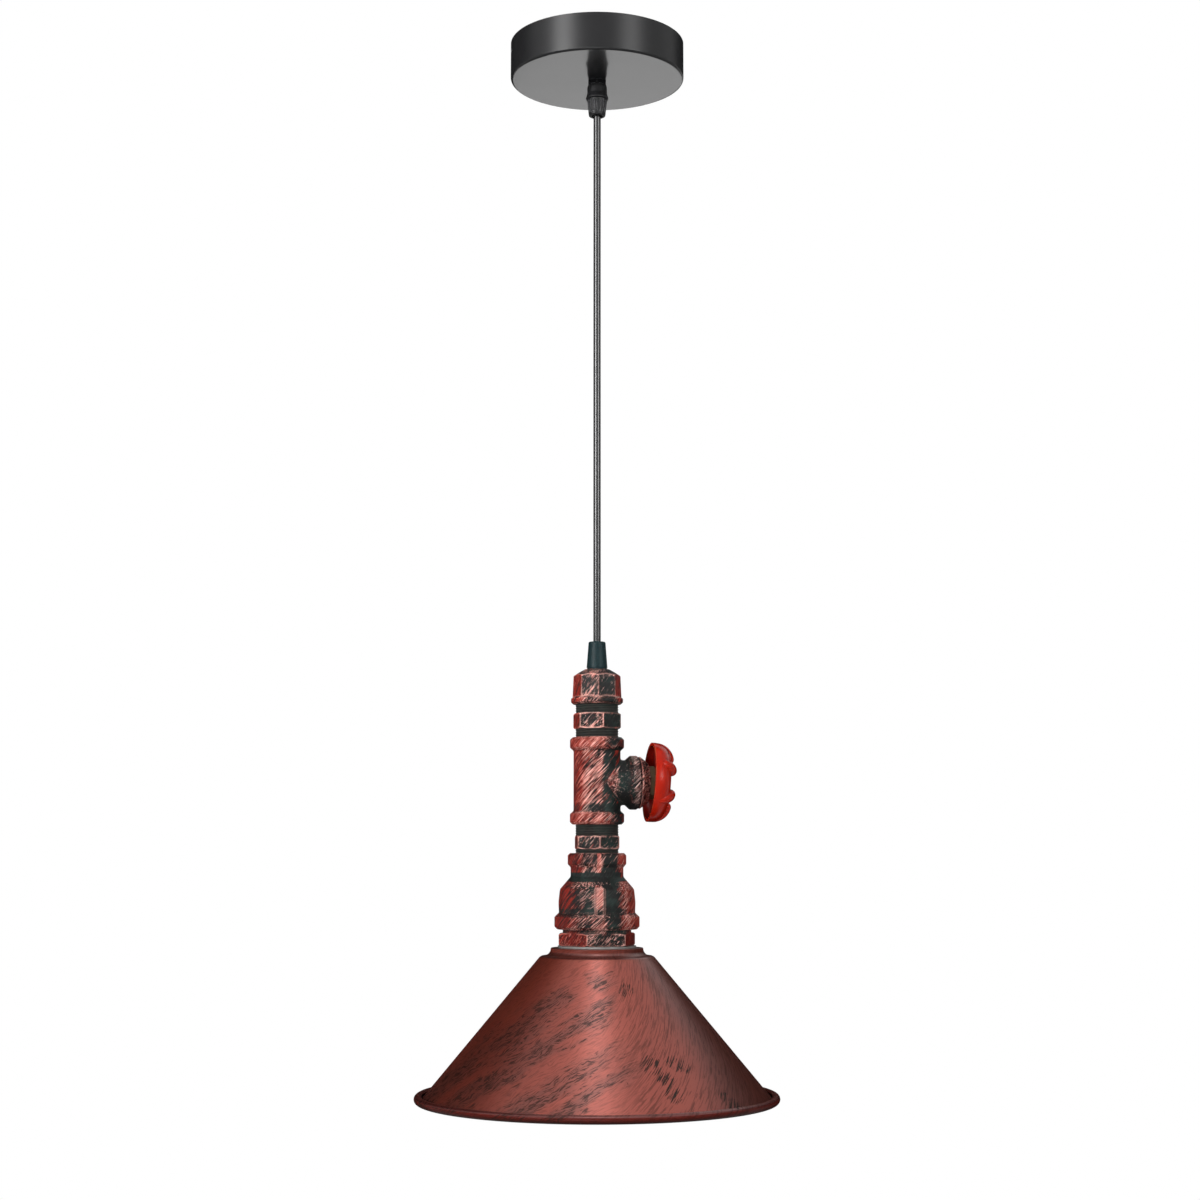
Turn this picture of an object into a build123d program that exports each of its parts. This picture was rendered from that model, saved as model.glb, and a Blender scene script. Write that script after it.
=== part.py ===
from build123d import *
import os
from math import atan, cos, degrees, radians, sin, sqrt, tan

os.makedirs("parts", exist_ok=True)

# Pipe lamp, in millimetres. The ceiling is the plane z = 0 and the lamp hangs below it on the axis x = y = 0.
# The tee's branch, with the valve wheel, points along +X.

# Heights of the joints between the pieces, from the ceiling down.
rose_height = 28.0
upper_mouth_z = -55.6
lower_mouth_z = -452.1
cap_top_z = -472.3
cap_bottom_z = -497.8
tee_top_z = -521.8
tee_bottom_z = -584.6
reducer_top_z = -605.1
reducer_bottom_z = -659.3
bush_bottom_z = -671.0
shade_top_z = -672.5

# Rose and flex.
rose_radius = 65.0
rose_sheet = 1.0
flex_radius = 2.75
core_radius = 1.1
core_ring = 1.35
stem_radius = 5.0
stem_bore = 3.6
stem_hole = 5.2

# Pipe fittings.
thread_radius = 14.75
thread_gap = 0.05
nipple_bore = 11.2
fitting_bore = 12.4
socket_depth = 15.0
bead_radius = 19.6
tee_radius = 17.0
branch_reach = 30.1
bush_thread_radius = 24.6

# Shade, measured on the middle of its sheet.
shade_sheet = 0.8
shade_hole = 20.4
shade_slope = 0.8423
shade_foot_radius = 40.25
shade_step = 5.5
rim_radius = 127.1
rim_roll = 2.6

# How far each six- or eight-sided fitting was turned when it was screwed home, in degrees.
cap_turn = 39.7
upper_nipple_turn = 36.4
lower_nipple_turn = 28.2
bush_turn = 6.0
rib_turn = -94.8


def save(name, shape):
    export_step(shape, "parts/" + name + ".step")


def outline(points):
    """Closed flat outline through (radius, height) corners; a third number rounds that corner."""
    face = make_face(Polyline(*[(p[0], p[1]) for p in points], close=True))
    for p in points:
        if len(p) == 3:
            corner = face.vertices().sort_by_distance((p[0], p[1], 0))[0]
            face = fillet(corner, p[2])
    return face


def turned(points):
    """Solid turned about the vertical axis."""
    return revolve(Plane.XZ * outline(points), axis=Axis.Z)


def upright(radius, top, bottom, x=0.0, y=0.0):
    """Round bar along the vertical."""
    return Pos(x, y, (top + bottom) / 2) * Cylinder(radius, abs(top - bottom))


def tube(outer, inner, top, bottom):
    return upright(outer, top, bottom) - upright(inner, top + 1, bottom - 1)


def rims(shape, radius):
    """Round edges of this radius."""
    circles = shape.edges().filter_by(GeomType.CIRCLE)
    return circles.filter_by(lambda e: abs(e.radius - radius) < 0.01)


def six_sided(corner, top, bottom, turn, bevel):
    """Upright hexagon with the corners of both ends turned off at thirty degrees."""
    prism = Pos(0, 0, bottom) * extrude(RegularPolygon(corner, 6, rotation=turn), amount=top - bottom)
    drop = bevel * tan(radians(30))
    limit = turned(
        [
            (0, top),
            (corner - bevel, top),
            (corner + 0.01, top - drop),
            (corner + 0.01, bottom + drop),
            (corner - bevel, bottom),
            (0, bottom),
        ]
    )
    return prism & limit


def nut(corner, bore, top, bottom, turn=0.0):
    return six_sided(corner, top, bottom, turn, corner * 0.12) - upright(bore, top + 1, bottom - 1)


def cord(points, radius, bend):
    """Round wire along straight runs joined by tangent bends."""
    path = FilletPolyline(*points, radius=bend)
    profile = Plane(origin=path @ 0, z_dir=path % 0) * Circle(radius)
    return sweep(profile, path=path)


# Ceiling strap: pressed steel, screwed to the ceiling through two slots. Its bent ends carry the cup.
strap_sheet = 1.5
strap_width = 20.0
tab_face = 62.6
tab_width = 16.0
tab_depth = 14.0
slot_spacing = 70.0
slot_length = 16.0
slot_half_width = 2.5
grub_z = -8.0
grub_radius = 1.95
earth_x = 21.0
pole_pitch = 10.0


def make_ceiling_bracket():
    strap = Pos(0, 0, -strap_sheet / 2) * Box(2 * tab_face, strap_width, strap_sheet)
    for side in (-1, 1):
        tab_x = side * (tab_face - strap_sheet / 2)
        strap += Pos(tab_x, 0, -tab_depth / 2) * Box(strap_sheet, tab_width, tab_depth)
    bends = strap.edges().filter_by(Axis.Y).group_by(Axis.Z)[-1]
    strap = fillet(bends, 1.2)
    tips = strap.edges().filter_by(Axis.X).group_by(Axis.Z)[0]
    strap = fillet(tips, 3.0)
    for side in (-1, 1):
        slot = Pos(side * slot_spacing / 2, 0, 1) * SlotOverall(slot_length, 2 * slot_half_width)
        strap -= extrude(slot, amount=-2 * strap_sheet - 1)
        strap -= upright(1.55, 1, -3, x=side * pole_pitch / 2)
    strap -= Pos(0, 0, grub_z) * Rot(0, 90, 0) * Cylinder(grub_radius + thread_gap, 2 * rose_radius + 4)
    strap -= upright(2.0, 1, -3, x=earth_x)
    return strap


def make_rose_cup():
    floor = -rose_height + rose_sheet
    inner = rose_radius - rose_sheet
    cup = turned(
        [
            (inner, 0),
            (rose_radius, 0),
            (rose_radius, -rose_height, 1.8),
            (stem_hole, -rose_height),
            (stem_hole, floor),
            (inner, floor, 0.8),
        ]
    )
    return cup - Pos(0, 0, grub_z) * Rot(0, 90, 0) * Cylinder(grub_radius + 0.15, 2 * rose_radius + 4)


def make_rose_grub_screws():
    outer_end = rose_radius - 0.2
    length = 5.0
    bar = upright(grub_radius, 0, -length)
    bar -= extrude(RegularPolygon(1.15, 6), amount=-2.5)
    right = Pos(outer_end, 0, grub_z) * Rot(0, 90, 0) * bar
    left = Pos(-outer_end, 0, grub_z) * Rot(0, -90, 0) * bar
    return right + left


# Terminal block under the strap: three brass tubes in a moulded body, each with two clamping screws.
block_top = -strap_sheet
block_bottom = -13.5
pole_z = -8.0
pole_x = [-pole_pitch, 0.0, pole_pitch]
clamp_y = 4.5


def make_terminal_block():
    height = block_top - block_bottom
    web_z = block_top - 1.5
    block = Pos(0, 0, web_z) * Box(2 * pole_pitch + 8.4, 12, 3)
    for x in pole_x:
        tower = Pos(x, 0, (block_top + block_bottom) / 2) * Box(8.4, 17, height)
        tower = fillet(tower.edges().filter_by(Axis.Z), 1.0)
        tower = fillet(tower.faces().sort_by(Axis.Z)[0].edges(), 0.8)
        block += tower
    for x in pole_x:
        block -= Pos(x, 0, pole_z) * Rot(90, 0, 0) * Cylinder(2.2, 30)
        for y in (-clamp_y, clamp_y):
            block -= upright(1.9, pole_z, block_bottom - 1, x=x, y=y)
    for side in (-1, 1):
        block -= upright(1.6, 1, block_bottom - 1, x=side * pole_pitch / 2)
        block -= upright(2.5, block_top - 3, block_bottom - 1, x=side * pole_pitch / 2)
    return block


def make_terminal_tubes():
    tubes = []
    for x in pole_x:
        bar = Pos(x, 0, pole_z) * Rot(90, 0, 0) * (Cylinder(2.15, 15) - Cylinder(1.5, 16))
        for y in (-clamp_y, clamp_y):
            bar -= upright(1.35, pole_z, pole_z - 4, x=x, y=y)
        tubes.append(bar)
    return tubes[0] + tubes[1] + tubes[2]


def make_terminal_screws():
    screws = Part()
    for x in pole_x:
        for y in (-clamp_y, clamp_y):
            bar = upright(1.3, pole_z - 1.7, -12.8, x=x, y=y)
            screws += bar - Pos(x, y, -12.8) * Box(4, 0.5, 1.2)
    return screws


def make_terminal_block_screws():
    screws = Part()
    for side in (-1, 1):
        x = side * pole_pitch / 2
        head_top = block_top - 3
        screw = upright(1.5, -0.2, head_top, x=x) + upright(2.3, head_top, head_top - 1.8, x=x)
        screws += screw - Pos(x, 0, head_top - 1.8) * Box(6, 0.7, 1.6)
    return screws


def make_rose_earth_screw():
    under_tag = -strap_sheet - 0.8
    screw = upright(1.95, -0.2, under_tag, x=earth_x)
    head = upright(3.5, under_tag, under_tag - 2.2, x=earth_x)
    head = fillet(head.edges().sort_by(Axis.Z)[0], 0.9)
    screw += head
    screw -= Pos(earth_x, 0, under_tag - 2.2) * Box(8, 0.8, 1.8)
    return screw


def ring_tag(hole, eye, reach):
    """Flat ring with a crimped barrel that points along -Y; its top face is at z = 0."""
    tag = upright(eye, 0, -0.8)
    tag += Pos(0, -(eye + 1.2) / 2 - 0.6, -0.4) * Box(3.0, eye + 1.4, 0.8)
    barrel_y = -(eye + 0.8 + reach) / 2
    barrel = Pos(0, barrel_y, -1.75) * Rot(90, 0, 0) * Cylinder(1.65, reach - eye - 0.8)
    tag += barrel
    tag -= Pos(0, barrel_y - 2, -1.75) * Rot(90, 0, 0) * Cylinder(1.2, reach - eye)
    tag -= upright(hole, 1, -4)
    return tag


def make_rose_earth_tag():
    return Pos(earth_x, 0, -strap_sheet) * ring_tag(2.0, 3.8, 9.5)


# Hollow stem through the bottom of the cup, with a toothed washer and a nut inside and a nut outside.
stem_top = -19.5
stem_bottom = -38.0
outer_nut_z = -31.5


def make_rose_nipple():
    stem = tube(stem_radius, stem_bore, stem_top, stem_bottom)
    return chamfer(rims(stem, stem_radius), 0.4)


def make_rose_lockwasher():
    top = -rose_height + rose_sheet + 0.8
    washer = tube(8.6, stem_radius + 0.1, top, top - 0.8)
    for i in range(12):
        washer -= Rot(0, 0, 30 * i) * Pos(8.2, 0, top - 0.4) * Box(2.4, 1.4, 2)
    return washer


def make_rose_locknut():
    seat = -rose_height + rose_sheet + 0.8
    return nut(8.1, stem_radius + thread_gap, seat + 4, seat, 12)


def make_rose_hex_nut():
    return nut(7.6, stem_radius + thread_gap, -rose_height, outer_nut_z, 20)


# Cord grips: a tapered collar screwed on a body. The one under the rose is short and ribbed.
# The one on the lamp is longer and smooth, and is fitted upside down.
upper_collar_length = 13.0
lower_collar_length = 19.2
collar_mouth = 6.15
collar_base = 7.6
collar_thread = 5.8
collar_recess = 5.4


def grip_collar(length):
    """Collar with its bell mouth at z = 0, opening downwards."""
    return turned(
        [
            (collar_thread + thread_gap, length),
            (collar_base, length, 0.4),
            (collar_mouth, 0, 1.0),
            (4.2, 0, 0.4),
            (3.1, 3.4),
            (3.1, collar_recess),
            (collar_thread + thread_gap, collar_recess),
        ]
    )


def make_upper_grip_collar():
    collar = grip_collar(upper_collar_length)
    lean = degrees(atan((collar_base - collar_mouth) / upper_collar_length))
    groove_r = (collar_base + collar_mouth) / 2 + 0.15
    groove = Pos(groove_r, 0, upper_collar_length / 2 + 0.6) * Rot(0, lean, 0) * Cylinder(0.5, 9.0)
    for i in range(18):
        collar -= Rot(0, 0, 20 * i) * groove
    return Pos(0, 0, upper_mouth_z) * collar


def make_upper_grip_body():
    seat = upper_mouth_z + upper_collar_length
    return turned(
        [
            (stem_radius + thread_gap, outer_nut_z),
            (6.9, outer_nut_z, 0.5),
            (7.4, outer_nut_z - 2),
            (7.4, seat + 4.5, 3.0),
            (8.4, seat + 1.4, 0.6),
            (8.4, seat, 0.4),
            (collar_thread, seat),
            (collar_thread, seat - 7.3),
            (3.1, seat - 7.3),
            (3.1, stem_bottom - 0.2),
            (stem_radius + thread_gap, stem_bottom - 0.2),
        ]
    )


def make_lower_grip_collar():
    return Pos(0, 0, lower_mouth_z) * Rot(180, 0, 0) * grip_collar(lower_collar_length)


grip_stem_bottom = -483.0
cap_roof_z = -478.0


def make_lower_grip_body():
    seat = lower_mouth_z - lower_collar_length
    return turned(
        [
            (3.1, seat + 13.5),
            (collar_thread, seat + 13.5),
            (collar_thread, seat),
            (7.2, seat, 0.2),
            (7.2, cap_top_z),
            (stem_radius, cap_top_z),
            (stem_radius, grip_stem_bottom),
            (3.1, grip_stem_bottom),
        ]
    )


def make_lower_grip_locknut():
    return nut(8.1, stem_radius + thread_gap, cap_roof_z, cap_roof_z - 4, 5)


# Flex: a straight taut run. Its neck is the ball in the bell mouth on which the run swings.
neck_ball = 2.5
neck_seat = 2.8
flex_end = -456.0


def core_start(angle, z):
    return (core_ring * cos(radians(angle)), core_ring * sin(radians(angle)), z)


def make_flex_rose_tail():
    return upright(flex_radius, sheath_top, upper_mouth_z + 3.2)


def make_flex_neck():
    return Pos(0, 0, upper_mouth_z) * Sphere(neck_ball)


def make_flex():
    run = upright(flex_radius, upper_mouth_z, flex_end)
    return run - Pos(0, 0, upper_mouth_z) * Sphere(neck_seat)


def make_flex_lamp_tail():
    return upright(flex_radius, flex_end - 0.3, sheath_bottom)


# The three cores leave the sheath above the stem and go to the block and to the earth point.
sheath_top = -21.5
sheath_bottom = -486.0
turn_z = -16.3
core_out_y = 17.0


def rose_core(angle, x):
    start = core_start(angle, sheath_top)
    points = [
        start,
        (start[0], start[1], turn_z),
        (x, core_out_y, turn_z),
        (x, core_out_y, pole_z),
        (x, 5.4, pole_z),
    ]
    return cord(points, core_radius, 3.5)


def make_rose_live_core():
    return rose_core(150, -pole_pitch)


def make_rose_neutral_core():
    return rose_core(30, pole_pitch)


def make_rose_earth_core():
    start = core_start(270, sheath_top)
    tag_z = -strap_sheet - 1.75
    points = [
        start,
        (start[0], start[1], turn_z),
        (earth_x, -core_out_y, turn_z),
        (earth_x, -core_out_y, tag_z),
        (earth_x, -6.6, tag_z),
    ]
    return cord(points, core_radius, 3.5)


# Eight-sided malleable iron cap, drilled for the cord grip, with a bead round its mouth.
def make_top_cap():
    shoulder = cap_bottom_z + 5.0
    wide = Pos(0, 0, shoulder) * RegularPolygon(17.8, 8, rotation=cap_turn)
    narrow = Pos(0, 0, cap_top_z) * RegularPolygon(16.9, 8, rotation=cap_turn)
    prism = loft([wide, narrow], ruled=True)
    dome = turned(
        [
            (0, cap_top_z),
            (8.9, cap_top_z, 1.0),
            (13.2, cap_top_z - 2.4, 6.0),
            (17.2, cap_top_z - 5.0, 1.5),
            (21.0, cap_top_z - 11.0),
            (21.0, shoulder),
            (0, shoulder),
        ]
    )
    bead = turned(
        [
            (0, shoulder + 0.6),
            (16.6, shoulder + 0.6),
            (18.9, shoulder - 0.9, 0.9),
            (18.9, cap_bottom_z + 1.5, 0.9),
            (17.3, cap_bottom_z, 0.4),
            (0, cap_bottom_z),
        ]
    )
    cap = (prism & dome) + bead
    cap -= upright(thread_radius + thread_gap, cap_roof_z, cap_bottom_z - 1)
    return cap - upright(stem_hole, cap_top_z + 1, cap_roof_z - 1)


# Pipe nipples: threaded at both ends, with a six-sided middle for the wrench.
def pipe_nipple(top, hex_top, hex_bottom, bottom, corner, turn):
    barrel = upright(thread_radius, top, bottom)
    barrel = chamfer(barrel.edges().filter_by(GeomType.CIRCLE), 1.2)
    barrel += six_sided(corner, hex_top, hex_bottom, turn, 1.6)
    return barrel - upright(nipple_bore, top + 1, bottom - 1)


def make_upper_nipple():
    return pipe_nipple(cap_bottom_z + 13, -504.3, -515.6, tee_top_z - 14, 17.8, upper_nipple_turn)


def make_lower_nipple():
    return pipe_nipple(tee_bottom_z + 14, -592.7, -602.2, reducer_top_z - 14, 17.4, lower_nipple_turn)


# Tee: straight run with a bead at each end and a beaded branch along +X, blended where they meet.
# The branch is cast a little below the middle of the run.
branch_z = (tee_top_z + tee_bottom_z) / 2 - 1.2
bead_height = 9.8
branch_radius = 16.3


def on_branch(shape):
    """Moves a shape turned about the vertical to the branch: its height becomes the distance along +X."""
    return Pos(0, 0, branch_z) * Rot(0, 90, 0) * shape


def make_tee():
    body = turned(
        [
            (0, tee_top_z),
            (17.8, tee_top_z, 0.5),
            (bead_radius, tee_top_z - 1.8, 1.0),
            (bead_radius, tee_top_z - bead_height + 2.4, 1.2),
            (tee_radius, tee_top_z - bead_height, 1.5),
            (tee_radius, tee_bottom_z + bead_height, 1.5),
            (bead_radius, tee_bottom_z + bead_height - 2.4, 1.2),
            (bead_radius, tee_bottom_z + 1.8, 1.0),
            (17.8, tee_bottom_z, 0.5),
            (0, tee_bottom_z),
        ]
    )
    body += on_branch(upright(branch_radius, 0, branch_reach - 4))
    seam = body.edges().filter_by(lambda e: e.geom_type not in (GeomType.CIRCLE, GeomType.LINE))
    body = fillet(seam, 1.8)
    body += on_branch(
        turned(
            [
                (0, branch_reach - 9.6),
                (branch_radius, branch_reach - 9.6),
                (bead_radius - 0.1, branch_reach - 6.0, 1.5),
                (bead_radius - 0.1, branch_reach - 1.4, 0.8),
                (17.8, branch_reach, 0.5),
                (0, branch_reach),
            ]
        )
    )
    socket = thread_radius + thread_gap
    body -= upright(fitting_bore, tee_top_z + 1, tee_bottom_z - 1)
    body -= upright(socket, tee_top_z + 1, tee_top_z - socket_depth)
    body -= upright(socket, tee_bottom_z + socket_depth, tee_bottom_z - 1)
    body -= on_branch(upright(fitting_bore, 0, branch_reach + 1))
    return body - on_branch(upright(socket, branch_reach - socket_depth, branch_reach + 1))


# Reducing socket: narrow beaded mouth, round shoulder, wide barrel with two cast ribs and a wide bead.
def make_reducer():
    body = turned(
        [
            (0, reducer_top_z),
            (19.5, reducer_top_z, 0.5),
            (21.1, reducer_top_z - 1.7, 1.0),
            (21.1, -612.9, 1.0),
            (19.0, -615.4, 1.2),
            (19.0, -622.0, 2.5),
            (26.7, -630.9, 4.0),
            (27.7, -640.0, 20.0),
            (27.4, -647.6, 1.0),
            (30.6, -650.6, 1.2),
            (30.6, reducer_bottom_z + 2.0, 1.0),
            (28.7, reducer_bottom_z, 0.5),
            (0, reducer_bottom_z),
        ]
    )
    rib = Pos(26.4, 0, -640.0) * Box(5.4, 6.2, 21.0)
    rib = fillet(rib.edges().filter_by(Axis.Z), 0.8)
    rib = fillet(rib.faces().sort_by(Axis.Z)[-1].edges(), 0.7)
    for turn in (rib_turn, rib_turn + 180):
        body += Rot(0, 0, turn) * rib
    body -= turned(
        [
            (0, reducer_top_z + 1),
            (thread_radius + thread_gap, reducer_top_z + 1),
            (thread_radius + thread_gap, reducer_top_z - socket_depth),
            (12.5, reducer_top_z - socket_depth),
            (12.5, -623.0, 2.0),
            (22.5, -632.5, 3.0),
            (22.5, -643.0),
            (bush_thread_radius + thread_gap, -643.0),
            (bush_thread_radius + thread_gap, reducer_bottom_z - 1),
            (0, reducer_bottom_z - 1),
        ]
    )
    return body


# Hexagon bush: closes the socket, carries the lampholder's stem in its web and rests on the shade.
web_top = -644.5
web_bottom = -648.5
bush_recess = 20.6


def make_hex_bush():
    bush = six_sided(28.4, -661.9, bush_bottom_z, bush_turn, 1.8)
    neck = upright(bush_thread_radius, web_top, -662.5)
    bush += chamfer(neck.edges().filter_by(GeomType.CIRCLE).sort_by(Axis.Z)[-1], 1.2)
    bush -= upright(bush_recess, web_bottom, bush_bottom_z - 1)
    return bush - upright(stem_hole, web_top + 1, web_bottom - 1)


# Lampholder: stem and nut in the bush's web, moulded cap and skirt, ceramic insert, brass shell and contact.
holder_stem_top = -638.4
holder_stem_bottom = -654.0
holder_joint_z = -666.5
holder_bottom_z = -702.5
insert_top = -666.0
insert_face = -677.0
shell_top = -681.0
shell_bottom = -701.0
shell_radius = 13.25
terminal_x = 6.5


def make_lampholder_nipple():
    stem = tube(stem_radius, stem_bore, holder_stem_top, holder_stem_bottom)
    return chamfer(rims(stem, stem_radius), 0.4)


def make_lamp_earth_tag():
    return Pos(0, 0, web_top + 0.8) * ring_tag_flat()


def ring_tag_flat():
    """Ring tag for the stem, with its barrel standing above the ring; its ring's top face is at z = 0."""
    tag = upright(8.4, 0, -0.8)
    tag += Pos(0, -8.6, -0.4) * Box(3.0, 3.4, 0.8)
    tag += Pos(0, -11.5, 0.85) * Rot(90, 0, 0) * Cylinder(1.65, 4.2)
    tag -= Pos(0, -12.5, 0.85) * Rot(90, 0, 0) * Cylinder(1.2, 5.0)
    return tag - upright(stem_hole, 1, -3)


def make_lampholder_locknut():
    seat = web_top + 0.8
    return nut(8.1, stem_radius + thread_gap, seat + 4, seat, 25)


def make_lampholder_cap():
    inner = 17.8
    shell = turned(
        [
            (stem_radius + thread_gap, web_bottom),
            (8.2, web_bottom, 0.5),
            (8.2, web_bottom - 3, 1.5),
            (16.0, web_bottom - 5, 5.0),
            (19.8, web_bottom - 12, 3.0),
            (19.8, holder_joint_z),
            (inner, holder_joint_z),
            (inner, web_bottom - 12, 3.0),
            (14.6, web_bottom - 6.8, 3.0),
            (8.2, holder_stem_bottom - 0.6),
            (stem_radius + thread_gap, holder_stem_bottom - 0.6),
        ]
    )
    return shell


def make_lampholder_skirt():
    return turned(
        [
            (16.9, holder_joint_z + 4.3),
            (17.75, holder_joint_z + 4.3),
            (17.75, holder_joint_z),
            (19.6, holder_joint_z),
            (19.6, holder_bottom_z, 1.2),
            (14.5, holder_bottom_z, 0.5),
            (14.5, shell_bottom),
            (16.9, shell_bottom),
        ]
    )


def make_lampholder_insulator():
    insert = turned(
        [
            (0, insert_top),
            (16.8, insert_top, 0.6),
            (16.8, shell_top - 4, 0.5),
            (14.0, shell_top - 4),
            (14.0, shell_top + 0.1),
            (12.2, shell_top + 0.1),
            (12.2, insert_face),
            (0, insert_face),
        ]
    )
    for side in (-1, 1):
        insert -= upright(1.0, insert_top + 1, insert_face - 1, x=side * 9.0, y=-5)
    return insert


def make_screw_shell():
    return tube(shell_radius + 0.65, shell_radius, shell_top, shell_bottom)


def make_centre_contact():
    line = Polyline((-10, 0), (-4, 0), (3, -2.4), (6.5, -1.6))
    strip = make_face(line.offset_2d(0.3, kind=Kind.ARC, side=Side.BOTH))
    tongue = extrude(Plane.XZ * strip, amount=2.5, both=True)
    return Pos(0, 0, insert_face - 0.3) * tongue


def make_lampholder_terminals():
    blocks = Part()
    for side in (-1, 1):
        x = side * terminal_x
        block = Pos(x, core_ring / 2, insert_top + 2.5) * Box(5.2, 5.2, 5.0)
        block = fillet(block.edges().filter_by(Axis.Z), 0.6)
        blocks += block - upright(1.25, insert_top + 6, insert_top + 1.5, x=x, y=core_ring / 2)
    return blocks


def lamp_core(angle, side):
    start = core_start(angle, sheath_bottom)
    x = side * terminal_x
    points = [
        start,
        (start[0], start[1], -654.6),
        (x, start[1], -659.2),
        (x, start[1], insert_top + 2.0),
    ]
    return cord(points, core_radius, 2.4)


def make_lamp_live_core():
    return lamp_core(150, -1)


def make_lamp_neutral_core():
    return lamp_core(30, 1)


def make_lamp_earth_core():
    start = core_start(270, sheath_bottom)
    tag_z = web_top + 0.8 + 0.85
    points = [
        start,
        (start[0], start[1], -618.0),
        (0, -9.0, -628.0),
        (0, -18.6, -636.0),
        (0, -18.6, tag_z),
        (0, -11.0, tag_z),
    ]
    return cord(points, core_radius, 2.8)


# Cone shade: spun sheet with a flat top, a hollow step, a straight cone and an outward rolled rim.
def shade_line():
    top = shade_top_z - shade_sheet / 2
    step_start = shade_foot_radius - shade_step - 1.95
    step_end = step_start + shade_step
    foot_z = top - shade_step
    lean = radians(90) - atan(1 / shade_slope)
    rim_z = foot_z - 99.5
    touch_r = rim_radius - rim_roll * cos(lean)
    touch_z = rim_z - rim_roll * sin(lean)
    flat = Line((shade_hole, top), (step_start, top))
    cove = CenterArc((step_end, top), shade_step, 180, 90)
    knee = 1.6
    cone_dr = touch_r - shade_foot_radius
    cone_dz = touch_z - foot_z
    reach = sqrt(cone_dr * cone_dr + cone_dz * cone_dz)
    after = (shade_foot_radius + knee * cone_dr / reach, foot_z + knee * cone_dz / reach)
    before = (shade_foot_radius - knee, foot_z)
    ledge = Line((step_end, foot_z), before)
    bend = TangentArc(before, after, tangent=(1, 0))
    cone = Line(after, (touch_r, touch_z))
    roll = CenterArc((rim_radius, rim_z), rim_roll, 180 + degrees(lean), 285)
    return Wire([*flat.edges(), *cove.edges(), *ledge.edges(), *bend.edges(), *cone.edges(), *roll.edges()])


def make_shade():
    sheet = make_face(shade_line().offset_2d(shade_sheet / 2, kind=Kind.ARC, side=Side.BOTH))
    return revolve(Plane.XZ * sheet, axis=Axis.Z)


def make_shade_washer():
    washer = tube(28.2, shade_hole + 0.1, bush_bottom_z, shade_top_z)
    return fillet(rims(washer, 28.2), 0.3)


def make_shade_ring():
    seat = shade_top_z - shade_sheet
    ring = turned(
        [
            (19.65, seat),
            (25.5, seat, 0.5),
            (25.5, seat - 3.6, 0.8),
            (22.6, seat - 6.2, 0.6),
            (19.65, seat - 6.2),
        ]
    )
    for i in range(24):
        ring -= Rot(0, 0, 15 * i) * upright(0.9, seat + 1, seat - 7, x=26.0)
    return ring


# Valve on the tee's branch: bonnet screwed into the branch, packing, gland nut, spindle and lobed wheel.
bonnet_neck = 9.0
bonnet_face = 36.8
neck_end = 39.8
gland_end = 42.0
spindle_radius = 4.0
spindle_gap = 0.05
packing_radius = 7.0


def make_valve_bonnet():
    body = turned(
        [
            (spindle_radius + spindle_gap, 20.0),
            (9.0, 20.0),
            (9.0, 16.4),
            (thread_radius, 16.4),
            (thread_radius, branch_reach),
            (18.6, branch_reach, 0.3),
            (18.8, branch_reach + 1.2, 0.6),
            (14.6, bonnet_face, 0.5),
            (bonnet_neck, bonnet_face),
            (bonnet_neck, neck_end),
            (packing_radius + 0.05, neck_end),
            (packing_radius + 0.05, 32.0),
            (spindle_radius + spindle_gap, 32.0),
        ]
    )
    return on_branch(body)


def make_gland_packing():
    return on_branch(tube(packing_radius, spindle_radius + 0.3, neck_end - 0.4, 32.0))


def make_gland_nut():
    cap = six_sided(12.4, gland_end, bonnet_face + 0.5, 15, 1.2)
    cap -= upright(bonnet_neck + thread_gap, neck_end + 0.2, bonnet_face - 1)
    return on_branch(cap - upright(spindle_radius + spindle_gap, 50, 30))


hub_back = 43.0
hub_face = 49.6
square_side = 5.6
stud_end = 53.8


def make_spindle():
    bar = upright(6.5, 16.8, 19.7) + upright(spindle_radius, 19.7, hub_back)
    square = Pos(0, 0, (hub_back + hub_face) / 2) * Box(square_side, square_side, hub_face - hub_back)
    bar += square
    return on_branch(bar + upright(2.5, hub_face, stud_end))


# Handwheel: a cast dish, open at the back, with six finger lobes. It sits a little crooked on its square.
wheel_back = 38.4
wheel_radius = 28.8
wheel_wall = 2.2
wheel_lean = 3.8
wheel_yaw = 1.0
web_face = 51.2
web_round = 10.8
lobe_radius = 4.0
lobe_sweep = 9.6
lobe_reach = 28.7
lobe_start = 42.2
lobe_arc = 76.8
lobes = 6


def wheel_dish(thin, hub_floor, back):
    """Round-shouldered dish with a sunk middle; thin moves its skin inwards."""
    return turned(
        [
            (0, hub_floor),
            (10.4 - thin / 2, hub_floor),
            (12.4 - thin / 2, web_face - thin, 0.8),
            (wheel_radius - thin, web_face - thin, web_round - thin),
            (wheel_radius - thin, back),
            (0, back),
        ]
    )


def wheel_fingers():
    """Six round fingers that rise from the rim, bend over the shoulder and end in a ball."""
    turn_r = lobe_reach - lobe_radius - lobe_sweep
    foot_r = turn_r + lobe_sweep
    axis = Axis((turn_r, 0, lobe_start), (0, -1, 0))
    finger = revolve(Pos(foot_r, 0, lobe_start) * Circle(lobe_radius), axis=axis, revolution_arc=lobe_arc)
    finger += upright(lobe_radius, lobe_start, wheel_back + 0.6, x=foot_r)
    tip = radians(lobe_arc)
    finger += Pos(turn_r + lobe_sweep * cos(tip), 0, lobe_start + lobe_sweep * sin(tip)) * Sphere(lobe_radius)
    fingers = Part()
    for i in range(lobes):
        fingers += Rot(0, 0, 360 / lobes * i) * finger
    return fingers


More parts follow.
